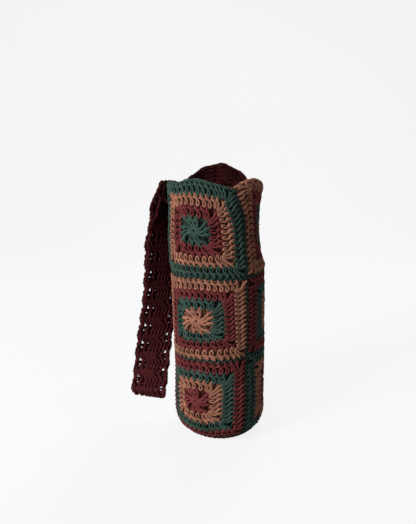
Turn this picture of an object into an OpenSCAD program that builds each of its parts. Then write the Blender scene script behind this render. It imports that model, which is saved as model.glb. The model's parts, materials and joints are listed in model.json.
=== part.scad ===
/* [Bag] */
// Outer radius of the bag's wall
bag_r = 41.3; // [38:0.1:48]
// Thickness of the crocheted wall
wall_t = 3.6; // [2.8:0.1:4.4]
// Height of a square in the top row
top_square_h = 71; // [64:0.5:78]
// Height of a square in the middle row
middle_square_h = 69; // [62:0.5:76]
// Height of a square in the bottom row, measured along the wall and round the heel
bottom_square_h = 72; // [66:0.5:80]
// Outer radius of the rounded heel
heel_r = 19; // [14:0.5:24]
// How far the bottom squares reach round the heel, in degrees
heel_reach = 45; // [30:1:60]
// Width of the yarn seam between two squares
seam_w = 1.4; // [1:0.1:2]
// Depth of the yarn seam below the wall's outer face
seam_sunk = 0.4; // [0.2:0.1:0.8]
// Turn of the front right seam from the front, in degrees
seam_turn = 33; // [20:1:45]

/* [Strap] */
// Width of the strap
strap_w = 34; // [28:0.5:40]
// Thickness of the strap
strap_t = 3.2; // [2.4:0.1:3.4]
// Gap between the strap and what it lies on
strap_gap = 0.3; // [0.25:0.05:0.6]
// Height of the strap's left end that is sewn on the wall
end_lap_h = 13; // [8:0.5:18]
// Width of the row of whip stitches at each end of the strap
stitch_w = 1.8; // [1.2:0.1:3]
// Turn of the place where the strap folds at the rim, in degrees from the front
fold_turn = -112.4; // [-120:0.2:-105]
// Height that the loop hangs down, from its fold at the rim to its lower fold
loop_drop = 196; // [170:1:198]
// Distance that the loop's lower fold stands out from its fold at the rim
loop_out = 17.8; // [12:0.2:30]
// Distance that the loop's lower fold lies in front of its fold at the rim
loop_front = 17.9; // [8:0.1:20]
// Direction of the loop's width at its lower fold, in degrees
loop_turn = 3; // [-5:1:15]
// Slope of the loop's lower fold, in degrees
loop_slope = 10; // [0:1:15]

/* [Hidden] */
squares_round = 3;
column_turn = 360 / squares_round;
heel_steps = 8;
heel_len = heel_r * PI / 2;
base_flat_r = bag_r - heel_r;
overrun = 2;
round_steps = 48;

// Places along the wall, measured from where the flat base meets the heel
bottom_v0 = heel_len * (90 - heel_reach) / 90;
bottom_v1 = bottom_v0 + bottom_square_h;
middle_v0 = bottom_v1 + seam_w;
middle_v1 = middle_v0 + middle_square_h;
top_v0 = middle_v1 + seam_w;
rim_v = top_v0 + top_square_h;
base_v1 = bottom_v0 - seam_w;
rim_h = heel_r + rim_v - heel_len;

// Share of a square's half side that each round reaches
round_share = [0.28, 0.5, 0.745, 1];
base_rounds = len(round_share);

// Turns on the wall
seam_half_turn = seam_w / 2 / bag_r * 180 / PI;
square_half_turn = column_turn / 2 - seam_half_turn;
front_turn = seam_turn - column_turn / 2;
right_turn = front_turn + column_turn;
back_turn = right_turn + column_turn;

// Line about which the hanging loop lifts
hinge_r = bag_r + strap_gap + strap_t / 2;
hinge_h = rim_h + strap_gap + strap_t / 2;
legs_half_t = strap_t + strap_gap / 2;
legs_out = strap_t / 2 + strap_gap + legs_half_t;
fold_dir = [sin(fold_turn), -cos(fold_turn), 0];
front_dir = [cos(fold_turn), sin(fold_turn), 0];
strap_start = fold_dir * (hinge_r + legs_out) + [0, 0, hinge_h - strap_t / 2];
width_turn = fold_turn + 180;
strap_cells = 4;

// Each row is a place on the hanging loop: shares of the drop, of the stand-out, of the
// forward lean, and of the twist from the rim's direction to the lower fold's
hang_shares = [
    [0, 0, 0, 0],
    [0.08, 0.15, 0.13, 0.24],
    [0.22, 0.29, 0.24, 0.46],
    [0.38, 0.39, 0.31, 0.56],
    [0.53, 0.49, 0.39, 0.64],
    [0.73, 0.74, 0.68, 0.81],
    [0.87, 0.88, 0.86, 0.92],
    [1, 1, 1, 1]
];

// Each row is a line across the crossing strap: the turn and height of its upper edge and
// of its lower edge, with heights as shares of the strap's width above the rim
cross_shares = [
    [120, -0.15, 140, -0.85],
    [127, 0, 145.5, -0.74],
    [134, 0.2, 151, -0.62],
    [146, 0.46, 157, -0.5],
    [157, 0.62, 163, -0.41],
    [170, 0.69, 171, -0.33],
    [182, 0.7, 180, -0.3],
    [195, 0.62, 190, -0.35],
    [205, 0.5, 201, -0.46],
    [214, 0.37, 211, -0.6],
    [222, 0.26, 221, -0.76]
];

green = "darkslategray";
light_brown = "sienna";
maroon = "brown";
dark_maroon = "maroon";
// Yarns of a square from its centre outwards
green_centre = [green, maroon, light_brown, green];
brown_centre = [light_brown, green, maroon, light_brown];
maroon_centre = [maroon, light_brown, green, maroon];

// Point of the wall's section at distance v along its outer face and depth d below it
function wall_point(v, d) =
    v <= 0 ? [base_flat_r + v, d]
    : v < heel_len ? let (a = 90 * v / heel_len)
        [base_flat_r + (heel_r - d) * sin(a), heel_r - (heel_r - d) * cos(a)]
    : [bag_r - d, heel_r + v - heel_len];

function wall_stops(v0, v1) = concat(
    [v0],
    [for (i = [0:heel_steps]) let (v = heel_len * i / heel_steps) if (v > v0 && v < v1) v],
    [v1]
);

// Section of the wall from v0 to v1, between depths d0 and d1
module wall_section(v0, v1, d0, d1) {
    stops = wall_stops(v0, v1);
    last = len(stops) - 1;
    polygon(concat(
        [for (v = stops) wall_point(v, d0)],
        [for (i = [last:-1:0]) wall_point(stops[i], d1)]
    ));
}

// Piece of the wall on both sides of the direction turn
module wall_piece(turn, half_turn, v0, v1, d0, d1) {
    rotate([0, 0, turn - half_turn - 90])
        rotate_extrude(angle = 2 * half_turn)
            wall_section(v0, v1, d0, d1);
}

// One round of a square: its own length of yarn, with the round before it inside it
module square_round(turn, v0, v1, number) {
    middle = (v0 + v1) / 2;
    half = (v1 - v0) / 2;
    reach = round_share[number - 1];
    difference() {
        wall_piece(turn, square_half_turn * reach, middle - half * reach, middle + half * reach, 0, wall_t);
        if (number > 1) {
            inner = round_share[number - 2];
            wall_piece(
                turn, square_half_turn * inner,
                middle - half * inner, middle + half * inner,
                -overrun, wall_t + overrun
            );
        }
    }
}

module top_square(turn, number, yarns) {
    color(yarns[number - 1]) square_round(turn, top_v0, rim_v, number);
}

module middle_square(turn, number, yarns) {
    color(yarns[number - 1]) square_round(turn, middle_v0, middle_v1, number);
}

module bottom_square(turn, number, yarns) {
    color(yarns[number - 1]) square_round(turn, bottom_v0, bottom_v1, number);
}

// Upright seam: joining yarn between two columns, in one length for each row of squares
module upright_seam(turn) {
    color(green) for (span = [[bottom_v0, bottom_v1], [middle_v0, middle_v1], [top_v0, rim_v]])
        wall_piece(turn, seam_half_turn, span[0], span[1], seam_sunk, wall_t);
}

// Ring of joining yarn round the bag
module ring_seam(v0) {
    color(green) rotate_extrude()
        wall_section(v0, v0 + seam_w, seam_sunk, wall_t);
}

// One round of the base, counted from the middle
module base_round(number) {
    span = base_flat_r + base_v1;
    color(dark_maroon) rotate_extrude()
        wall_section(
            span * (number - 1) / base_rounds - base_flat_r,
            span * number / base_rounds - base_flat_r,
            0, wall_t
        );
}

// Closed sheet between two grids of points with the same rows and columns
module sheet_between(outer, inner) {
    rows = len(outer);
    cols = len(outer[0]);
    count = rows * cols;
    function at(i, j) = i * cols + j;
    polyhedron(
        points = concat([for (row = outer) each row], [for (row = inner) each row]),
        faces = concat(
            [for (i = [0:rows - 2], j = [0:cols - 2]) each [
                [at(i, j), at(i, j + 1), at(i + 1, j + 1)],
                [at(i, j), at(i + 1, j + 1), at(i + 1, j)],
                [count + at(i, j), count + at(i + 1, j + 1), count + at(i, j + 1)],
                [count + at(i, j), count + at(i + 1, j), count + at(i + 1, j + 1)]
            ]],
            [for (i = [0:rows - 2]) each [
                [at(i, 0), at(i + 1, 0), count + at(i + 1, 0)],
                [at(i, 0), count + at(i + 1, 0), count + at(i, 0)],
                [at(i + 1, cols - 1), at(i, cols - 1), count + at(i, cols - 1)],
                [at(i + 1, cols - 1), count + at(i, cols - 1), count + at(i + 1, cols - 1)]
            ]],
            [for (j = [0:cols - 2]) each [
                [at(0, j + 1), at(0, j), count + at(0, j)],
                [at(0, j + 1), count + at(0, j), count + at(0, j + 1)],
                [at(rows - 1, j), at(rows - 1, j + 1), count + at(rows - 1, j + 1)],
                [at(rows - 1, j), count + at(rows - 1, j + 1), count + at(rows - 1, j)]
            ]]
        )
    );
}

// Middle of the doubled loop at one row of hang_shares
function hang_middle(s) = strap_start
    + fold_dir * loop_out * s[1]
    + front_dir * loop_front * s[2]
    - [0, 0, (loop_drop - strap_t / 2) * s[0]];

function hang_turn(s) = width_turn + (loop_turn - width_turn) * s[3];
function hang_width(s) = let (a = hang_turn(s), tip = loop_slope * s[1])
    [cos(a) * cos(tip), sin(a) * cos(tip), -sin(tip)];
function hang_out(s) = let (a = hang_turn(s)) [-sin(a), cos(a), 0];
function hang_row(s, offset) = [
    for (j = [0:strap_cells]) hang_middle(s)
        + hang_width(s) * strap_w * (j / strap_cells - 1 / 2)
        + hang_out(s) * offset
];

// One leg of the hanging loop, between two offsets from the loop's middle
module hanging_leg(near, far) {
    sheet_between(
        [for (s = hang_shares) hang_row(s, far)],
        [for (s = hang_shares) hang_row(s, near)]
    );
}

// Point of the crossing strap: row s, share across and radius
function cross_point(s, across, radius) =
    let (turn = s[0] + (s[2] - s[0]) * across, rise = s[1] + (s[3] - s[1]) * across)
    [radius * sin(turn), -radius * cos(turn), rim_h + strap_w * rise];
function cross_row(s, radius) = [for (j = [0:strap_cells]) cross_point(s, j / strap_cells, radius)];

// Strap from its right sewn end, round the back of the bag, to the hanging loop
module strap_crossing() {
    color(dark_maroon)
        sheet_between(
            [for (s = cross_shares) cross_row(s, bag_r + strap_gap)],
            [for (s = cross_shares) cross_row(s, bag_r + strap_gap + strap_t)]
        );
}

// Left end of the strap, sewn flat on the outside of the wall
module strap_left_end() {
    half_turn = strap_w / 2 / hinge_r * 180 / PI;
    color(dark_maroon)
        wall_piece(fold_turn, half_turn, rim_v - end_lap_h, rim_v, -strap_gap - strap_t, -strap_gap);
}

// Row of whip stitches under the left end
module strap_left_stitches() {
    half_turn = strap_w / 2 / hinge_r * 180 / PI;
    color(maroon)
        wall_piece(
            fold_turn, half_turn, rim_v - end_lap_h - stitch_w, rim_v - end_lap_h,
            -strap_gap - strap_t / 2, 0
        );
}

// Row of whip stitches beside the right end
module strap_right_stitches() {
    first = cross_shares[0];
    near_turn = strap_gap / bag_r * 180 / PI;
    far_turn = near_turn + stitch_w / bag_r * 180 / PI;
    rows = [for (t = [far_turn, near_turn]) [first[0] - t, first[1], first[2] - t, first[3]]];
    color(maroon)
        sheet_between(
            [for (s = rows) cross_row(s, bag_r + strap_gap)],
            [for (s = rows) cross_row(s, bag_r + strap_gap + strap_t / 2)]
        );
}

// Rounded fold where the loop turns over the sewn end at the rim
module strap_rim_fold() {
    reach = legs_out + legs_half_t - strap_t / 2;
    color(dark_maroon)
        translate(fold_dir * hinge_r + [0, 0, hinge_h])
            rotate([90, 0, fold_turn - 90])
                linear_extrude(strap_w, center = true) {
                    circle(d = strap_t, $fn = round_steps);
                    translate([reach, 0]) circle(d = strap_t, $fn = round_steps);
                    translate([0, -strap_t / 2]) square([reach, strap_t]);
                }
}

module strap_front_leg() {
    color(dark_maroon) hanging_leg(-legs_half_t, -strap_gap / 2);
}

module strap_rear_leg() {
    color(dark_maroon) hanging_leg(strap_gap / 2, legs_half_t);
}

// Lower fold of the loop, a half round that joins the two legs
module strap_lower_fold() {
    last = hang_shares[len(hang_shares) - 1];
    block = [strap_w + 2 * overrun, 2 * (legs_half_t + overrun), legs_half_t + overrun];
    color(dark_maroon)
        translate(hang_middle(last))
            rotate([0, loop_slope, hang_turn(last)])
                difference() {
                    rotate([0, 90, 0])
                        cylinder(r = legs_half_t, h = strap_w, center = true, $fn = round_steps);
                    translate([-block[0] / 2, -block[1] / 2, 0])
                        cube(block);
                }
}

top_square(front_turn, 1, green_centre);  // front_top_centre
top_square(front_turn, 2, green_centre);  // front_top_round_2
top_square(front_turn, 3, green_centre);  // front_top_round_3
top_square(front_turn, 4, green_centre);  // front_top_round_4
middle_square(front_turn, 1, brown_centre);  // front_middle_centre
middle_square(front_turn, 2, brown_centre);  // front_middle_round_2
middle_square(front_turn, 3, brown_centre);  // front_middle_round_3
middle_square(front_turn, 4, brown_centre);  // front_middle_round_4
bottom_square(front_turn, 1, maroon_centre);  // front_bottom_centre
bottom_square(front_turn, 2, maroon_centre);  // front_bottom_round_2
bottom_square(front_turn, 3, maroon_centre);  // front_bottom_round_3
bottom_square(front_turn, 4, maroon_centre);  // front_bottom_round_4
top_square(right_turn, 1, brown_centre);  // right_top_centre
top_square(right_turn, 2, brown_centre);  // right_top_round_2
top_square(right_turn, 3, brown_centre);  // right_top_round_3
top_square(right_turn, 4, brown_centre);  // right_top_round_4
middle_square(right_turn, 1, maroon_centre);  // right_middle_centre
middle_square(right_turn, 2, maroon_centre);  // right_middle_round_2
middle_square(right_turn, 3, maroon_centre);  // right_middle_round_3
middle_square(right_turn, 4, maroon_centre);  // right_middle_round_4
bottom_square(right_turn, 1, green_centre);  // right_bottom_centre
bottom_square(right_turn, 2, green_centre);  // right_bottom_round_2
bottom_square(right_turn, 3, green_centre);  // right_bottom_round_3
bottom_square(right_turn, 4, green_centre);  // right_bottom_round_4
top_square(back_turn, 1, maroon_centre);  // back_top_centre
top_square(back_turn, 2, maroon_centre);  // back_top_round_2
top_square(back_turn, 3, maroon_centre);  // back_top_round_3
top_square(back_turn, 4, maroon_centre);  // back_top_round_4
middle_square(back_turn, 1, green_centre);  // back_middle_centre
middle_square(back_turn, 2, green_centre);  // back_middle_round_2
middle_square(back_turn, 3, green_centre);  // back_middle_round_3
middle_square(back_turn, 4, green_centre);  // back_middle_round_4
bottom_square(back_turn, 1, brown_centre);  // back_bottom_centre
bottom_square(back_turn, 2, brown_centre);  // back_bottom_round_2
bottom_square(back_turn, 3, brown_centre);  // back_bottom_round_3
bottom_square(back_turn, 4, brown_centre);  // back_bottom_round_4
upright_seam(seam_turn);  // seam_front_right
upright_seam(seam_turn + column_turn);  // seam_right_back
upright_seam(seam_turn - column_turn);  // seam_back_front
ring_seam(middle_v1);  // seam_upper
ring_seam(bottom_v1);  // seam_lower
ring_seam(base_v1);  // seam_base
base_round(1);  // base_centre
base_round(2);  // base_round_2
base_round(3);  // base_round_3
base_round(4);  // base_round_4
strap_crossing();
strap_left_end();
strap_left_stitches();
strap_right_stitches();
strap_rim_fold();
strap_front_leg();
strap_rear_leg();
strap_lower_fold();
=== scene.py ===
"""Yarn work of a crocheted bottle carrier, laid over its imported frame."""

import json
import math

import bpy
import numpy as np
from mathutils import Matrix, Vector


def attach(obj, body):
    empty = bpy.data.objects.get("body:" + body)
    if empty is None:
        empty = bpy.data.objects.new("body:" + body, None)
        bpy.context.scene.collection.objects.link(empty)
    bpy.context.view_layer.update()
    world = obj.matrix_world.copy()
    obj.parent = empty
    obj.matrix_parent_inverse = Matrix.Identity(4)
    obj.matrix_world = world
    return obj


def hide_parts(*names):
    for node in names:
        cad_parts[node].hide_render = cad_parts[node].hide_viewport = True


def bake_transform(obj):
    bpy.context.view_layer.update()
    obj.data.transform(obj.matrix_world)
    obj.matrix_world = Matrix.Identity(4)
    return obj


bl_info = {
    "name": "Crocheted Bottle Carrier",
    "version": (1, 0, 0),
    "blender": (4, 5, 0),
    "location": "View3D > Sidebar > Carrier",
    "description": "Works the squares, seams, base and strap of the carrier in yarn",
    "category": "Object",
}

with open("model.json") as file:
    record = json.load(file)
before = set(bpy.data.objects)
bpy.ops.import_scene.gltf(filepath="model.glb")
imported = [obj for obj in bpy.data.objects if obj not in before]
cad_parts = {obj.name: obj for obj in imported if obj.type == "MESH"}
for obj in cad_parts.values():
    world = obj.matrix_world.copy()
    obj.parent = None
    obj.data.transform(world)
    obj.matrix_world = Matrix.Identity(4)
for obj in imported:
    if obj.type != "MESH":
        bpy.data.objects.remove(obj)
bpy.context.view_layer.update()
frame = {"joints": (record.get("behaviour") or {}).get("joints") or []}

MM = 0.001
GREEN, BROWN, MAROON, DARK = "green_yarn", "light_brown_yarn", "maroon_yarn", "dark_maroon_yarn"
# The yarns of the squares take turns: the next one for each column to the right and each row down,
# and the one before for each round outwards
YARN_CYCLE = (GREEN, BROWN, MAROON)
# Where the three columns of squares face, in degrees from the front
COLUMNS = {"front": -27.0, "right": 93.0, "back": 213.0}
ROWS_DOWN = {"bottom": 2, "middle": 1, "top": 0}
ROUND_NAMES = ("centre", "round_2", "round_3", "round_4")
STITCHES_A_SIDE = (3, 7, 11, 15)
# Share of a square's half side that each round reaches, and how much of that its yarn covers
ROUND_SHARE = (0.30, 0.535, 0.76, 1.0)
ROUND_COVER = (0.975, 0.975, 0.975, 0.965)
# How far each round's corners are drawn in
CORNER_PULL = (0.24, 0.12, 0.05, 0.0)
# Depth of the middle of the squares' fabric below its face, in mm
WALL_MIDDLE = 1.85

# Height of the rim by the turn from the front, in degrees and mm
RIM_LINE = (
    (-87, 222.2), (-76, 223.8), (-65, 223.0), (-54, 222.2), (-47, 222.6), (-40, 224.2), (-24, 224.6),
    (-13, 222.8), (2, 219.8), (12, 217.9), (20, 216.5), (24, 217.4), (28, 219.7), (35, 221.9),
    (43, 223.7), (50, 224.3), (57, 223.6), (66, 221.8), (76, 219.8), (90, 218.4), (120, 219.5),
    (146, 219), (153, 217.4), (160, 219.2), (190, 220), (232, 220.6), (258, 221.2),
)
# The wall follows the rim's line from this height up, over this much, in mm
RIM_FROM, RIM_OVER = 150, 66
# The rim rolls inwards from this far below its edge, round this radius, in mm, and by this angle
LIP_START, LIP_RADIUS, LIP_ROLL = 1.2, 1.6, 2.4
# Where the rim flares out: turn, reach to each side in degrees, the height that it starts at and mm
# outwards, which it gains over FLARE_OVER mm
RIM_FLARES = ((62, 26, 202, 2.6), (-88, 26, 200, 2.2))
FLARE_OVER = 20
# A pucker where four squares meet: turn, reach round the wall, height, reach up the wall, mm outwards
PUCKER = (86, 10, 153, 5, 1.6)
# Sideways lean and change of radius of the wall by height, in mm
WALL_LEAN = ((0, 0), (120, 0), (147, -0.9), (163, -3.2), (180, -4.4), (200, -3.8), (222, -1.9))
WALL_SLACK = ((0, 0), (120, 0), (147, -0.6), (163, -1.3), (180, -1.7), (200, -1.7), (222, -1.5))
# Gentle swells of the wall: mm outwards before SWELL, waves round the bag, mm up to a radian, start
SWELLS = ((0.5, 2, 31, 0), (0.35, 3, -17, 1), (0.25, 5, 11, 0))
SWELL = 0.8
# Lean, slack and swells set in at this height above the floor, over this much, in mm
WORN_FROM, WORN_OVER = 8, 40
# How far the worn squares stray round the bag, in degrees, and up it, in mm: a row for every
# STRAY_STEP mm along the wall, from its foot, and a value for every STRAY_STEP degrees, from
# FIRST_STRAY. The strays up the wall fade out over the last STRAY_FADE mm below the rim.
STRAY_STEP, FIRST_STRAY, STRAY_FADE = 25, -100, 10
TURN_STRAY = (
    (0, 0, 0, 0, 0, 0, 0, 0, 0),
    (0, -1.3, -1.8, -1.1, 0.8, 0, -1.1, 0.7, 0),
    (0, -2.4, -3, -2.7, -1.3, 0.7, 1.6, 3.5, 0),
    (0, -2.8, -3.9, -1.5, 1.2, 1.8, -0.4, 1.2, 0),
    (0, -2.3, -2.5, 0.2, 4.8, 4.3, 2.8, 2.3, 0),
    (0, -1.7, -2.1, 0.6, 2.5, 2.6, 4.4, 4.9, 0),
    (0, -0.3, 0.4, 2.7, 3.9, 3.8, 3.9, 4, 0.1),
    (0, 0.8, 2.6, 5, 7.7, 8.6, 7.8, 5.1, 0),
    (0, 0.5, 2.1, 4.5, 5.8, 6.3, 6.1, 4.9, 0),
    (0, -0.4, -0.4, 0.8, -1, -8.6, -6.6, -0.6, 0),
    (0, -1, -2.2, -4.2, -7.4, -13, -11, -5.3, 0),
)
RISE_STRAY = (
    (0, 0, 0, 0, 0, 0, 0.1, 0, 0),
    (0, 0, -0.2, -0.8, 1.7, 2.8, 4.2, 2.4, 0),
    (0, -0.7, -0.7, -0.4, 1, 2.9, 4.2, 2.9, 0),
    (0, -2.3, -1.6, 0.2, -0.4, 1.7, 3.4, 2.4, 0),
    (0, -2.8, -2.5, -0.3, 1.6, 1.6, 1.9, 1.2, 0),
    (0, -2.3, -2.6, -1.5, -0.1, 0.3, 0.2, 0.2, 0),
    (0, -1.7, -1.5, -0.5, -1.3, -1.4, -0.6, 0.2, 0),
    (0, -0.1, 0, -0.7, -1.1, -1.3, 1.1, 1, 0),
    (0, 0.7, -0.1, -1.9, -0.5, 0.7, 1.9, 1.4, 0),
    (0, 0.8, -0.3, -2, -0.3, 0.1, 1.5, 1.2, 0),
    (0, -0.1, -0.5, -0.9, -1.1, -1.2, -0.6, -0.1, 0),
)

# The hanging loop: shares of its drop, of its stand-out, of its forward lean and of its twist
HANG_SHARES = (
    (-0.008, 0.08, 0, 0), (0.05, 0.20, 0.10, 0.20), (0.21, 0.24, 0.23, 0.46), (0.38, 0.37, 0.31, 0.56),
    (0.53, 0.49, 0.39, 0.64), (0.73, 0.74, 0.68, 0.81), (0.87, 0.88, 0.86, 0.92), (1, 1, 1, 1),
)
# Lines across the crossing strap: turn and height of its upper edge, then of its lower edge,
# with heights as shares of its width above the rim
CROSS_SHARES = (
    (120, -0.17, 140, -0.85), (127, -0.04, 145.5, -0.74), (134, 0.12, 151, -0.62), (146, 0.37, 157, -0.5),
    (157, 0.56, 163, -0.41), (170, 0.68, 171, -0.33), (182, 0.7, 180, -0.3), (195, 0.62, 190, -0.35),
    (205, 0.5, 201, -0.46), (214, 0.37, 211, -0.6), (222, 0.26, 221, -0.72),
)
# Lines across the strap where it turns down at the rim: turn, radius and height of each edge
TURN_LINES = (
    (232, 46.0, 6.2, 222.8, 45.5, -23), (243, 49.5, 4.6, 224, 48.5, -20.5),
    (254, 50.8, 2.6, 225.2, 49.6, -17.5), (263, 51.3, 0.2, 226.3, 50.2, -16.0),
    (267.5, 51.2, -8, 227.2, 50.6, -17.5),
)
# Gap between the strap and what it lies on, and how far the crossing is lifted off it, in mm
STRAP_GAP, CROSSING_LIFT = 0.3, 0.5
# The crossing follows the worn wall below this height over the rim, more and more over twice as much
FOLLOW_BELOW = 6
# Distance from the middle of the doubled loop to the middle of a leg, past half its share of the
# thickness, and how high the rim fold stands and lies, in mm
LEG_EXTRA, FOLD_RISE, FOLD_SINK = 0.05, 2.2, 0.6
# How far down the wall the strap's left end lies, in mm
LEFT_END = (3.5, 8, 13.0)
# Radius of the two corners of the strap's lower fold, and where they start beside it, in mm
CORNER_RADIUS, CORNER_START = 4.6, 1.8
# Places along the strap's route for each line across it
PLACES_A_LINE = 60
# How much shorter the rows beside the lower fold are, in mm
FOLD_ROW_SHORT = 1.2


class YarnFinish(bpy.types.PropertyGroup):
    """Colours and thickness of the yarns."""
    green: bpy.props.FloatVectorProperty(
        name="Green", description="Colour of the green yarn", subtype="COLOR", size=3,
        min=0, max=1, default=(0.0188, 0.0335, 0.0272))
    light_brown: bpy.props.FloatVectorProperty(
        name="Light brown", description="Colour of the light brown yarn", subtype="COLOR", size=3,
        min=0, max=1, default=(0.145, 0.0620, 0.0400))
    maroon: bpy.props.FloatVectorProperty(
        name="Maroon", description="Colour of the maroon yarn", subtype="COLOR", size=3,
        min=0, max=1, default=(0.070, 0.0148, 0.0148))
    dark_maroon: bpy.props.FloatVectorProperty(
        name="Dark maroon", description="Colour of the strap's and the base's yarn", subtype="COLOR", size=3,
        min=0, max=1, default=(0.0300, 0.0052, 0.0060))
    thickness: bpy.props.FloatProperty(
        name="Yarn thickness", description="Thickness of the yarn in a stitch", unit="LENGTH",
        min=0.001, max=0.003, default=0.00142)
    looseness: bpy.props.FloatProperty(
        name="Looseness", description="How unevenly the stitches lie, from 0 to 1", subtype="FACTOR",
        min=0, max=1, default=0.65)


class BagShape(bpy.types.PropertyGroup):
    """Sizes of the bag."""
    radius: bpy.props.FloatProperty(
        name="Radius", description="Outer radius of the wall", unit="LENGTH", default=0.0413)
    top_square: bpy.props.FloatProperty(
        name="Top square", description="Height of a square in the top row", unit="LENGTH", default=0.071)
    middle_square: bpy.props.FloatProperty(
        name="Middle square", description="Height of a square in the middle row", unit="LENGTH", default=0.069)
    bottom_square: bpy.props.FloatProperty(
        name="Bottom square", description="Height of a square in the bottom row, along the wall",
        unit="LENGTH", default=0.072)
    heel_radius: bpy.props.FloatProperty(
        name="Heel", description="Radius of the rounded heel", unit="LENGTH", default=0.019)
    seam: bpy.props.FloatProperty(
        name="Seam", description="Width of the yarn seam between squares", unit="LENGTH", default=0.0014)


class StrapShape(bpy.types.PropertyGroup):
    """Sizes of the strap and its route."""
    width: bpy.props.FloatProperty(
        name="Width", description="Width of the strap", unit="LENGTH", default=0.034)
    thickness: bpy.props.FloatProperty(
        name="Thickness", description="Thickness of the strap", unit="LENGTH", default=0.0032)
    row: bpy.props.FloatProperty(
        name="Row", description="Length of one row of stitches", unit="LENGTH", default=0.0087)
    stitches: bpy.props.IntProperty(
        name="Stitches", description="Number of stitches across", min=5, max=16, default=8)
    drop: bpy.props.FloatProperty(
        name="Drop", description="Height that the loop hangs down", unit="LENGTH", default=0.1975)
    stand_out: bpy.props.FloatProperty(
        name="Stand-out", description="Distance that the lower fold stands out", unit="LENGTH", default=0.0178)
    lean: bpy.props.FloatProperty(
        name="Lean", description="Distance that the lower fold lies in front", unit="LENGTH", default=0.0179)
    fold_turn: bpy.props.FloatProperty(
        name="Fold turn", description="Turn of the fold at the rim from the front", subtype="ANGLE",
        default=math.radians(-112.4))
    loop_turn: bpy.props.FloatProperty(
        name="Loop turn", description="Direction of the lower fold's width", subtype="ANGLE",
        default=math.radians(3))
    slope: bpy.props.FloatProperty(
        name="Slope", description="Slope of the lower fold", subtype="ANGLE", default=math.radians(10))


class StudioLight(bpy.types.PropertyGroup):
    """Light and camera of the studio."""
    key: bpy.props.FloatProperty(name="Key light", description="Power of the key light", default=36)
    wash: bpy.props.FloatProperty(name="Wash", description="Power of the light on the backdrop", default=5)
    back: bpy.props.FloatProperty(name="Back light", description="Power of the light from behind", default=16)
    fill: bpy.props.FloatProperty(name="Fill", description="Strength of the surrounding light", default=0.4)
    glow: bpy.props.FloatProperty(name="Glow", description="Light that the pale paper gives out", default=0.852)
    camera_height: bpy.props.FloatProperty(
        name="Camera height", description="Height of the camera", unit="LENGTH", default=0.213)
    camera_distance: bpy.props.FloatProperty(
        name="Camera distance", description="Distance from the bag's axis", unit="LENGTH", default=0.351)


def smooth_step(x):
    x = np.clip(x, 0, 1)
    return x * x * (3 - 2 * x)


def table(rows, x):
    """Value of a table of pairs at x."""
    return np.interp(x, *np.transpose(rows))


def unit(v):
    return v / np.maximum(np.linalg.norm(v, axis=-1, keepdims=True), 1e-12)


def past(turn, middle=0):
    """Degrees from the middle turn to each turn, the short way round."""
    return (turn - middle + 180) % 360 - 180


def polar(turn, radius, z):
    """The point at a turn from the front in degrees, a radius and a height."""
    t = math.radians(turn)
    return np.array((radius * math.sin(t), -radius * math.cos(t), z))


def soft_parts(t, points):
    """Numbers of the four control points nearest to each place t on a smooth curve, and their shares."""
    i = np.clip(np.floor(t), 0, points - 2)
    f = np.clip(t - i, 0, 1)
    shares = (-0.5 * f + f * f - 0.5 * f ** 3, 1 - 2.5 * f * f + 1.5 * f ** 3,
              0.5 * f + 2 * f * f - 1.5 * f ** 3, -0.5 * f * f + 0.5 * f ** 3)
    numbers = [np.clip(i + k, 0, points - 1).astype(int) for k in (-1, 0, 1, 2)]
    return numbers, shares


def curve_weights(points, samples):
    """Weights that draw a smooth curve through control points."""
    weights = np.zeros((samples, points))
    for number, share in zip(*soft_parts(np.linspace(0, points - 1, samples), points)):
        np.add.at(weights, (np.arange(samples), number), share)
    return weights


def curves(strands, samples):
    """Smooth curves through the control points of each strand."""
    return np.einsum("nk,skc->snc", curve_weights(strands.shape[1], samples), strands)


def lengths(points):
    """Distance of each point along the line through them, from the first."""
    return np.concatenate(((0,), np.cumsum(np.linalg.norm(np.diff(points, axis=0), axis=-1))))


def smooth_run(keys, values, places):
    """Smooth values between unevenly spaced keys."""
    gap = np.diff(keys)[:, None, None]
    slope = np.diff(values, axis=0) / gap
    between = (slope[:-1] * gap[1:] + slope[1:] * gap[:-1]) / (gap[1:] + gap[:-1])
    tangent = np.concatenate((slope[:1], between, slope[-1:]))
    i = np.clip(np.searchsorted(keys, places, side="right") - 1, 0, len(keys) - 2)
    h = gap[i]
    f = (places - keys[i])[:, None, None] / h
    return (values[i] * (2 * f ** 3 - 3 * f * f + 1) + values[i + 1] * (3 * f * f - 2 * f ** 3)
            + h * (tangent[i] * (f ** 3 - 2 * f * f + f) + tangent[i + 1] * (f ** 3 - f * f)))


def stray(rows, turn, v):
    """Value of a table of strays at each turn and distance along the wall."""
    rows = np.asarray(rows, float)
    columns, across = soft_parts((past(turn) - FIRST_STRAY) / STRAY_STEP, rows.shape[1])
    lines, along = soft_parts(v / STRAY_STEP, rows.shape[0])
    return sum(a * b * rows[line, column]
               for line, b in zip(lines, along) for column, a in zip(columns, across))


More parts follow.
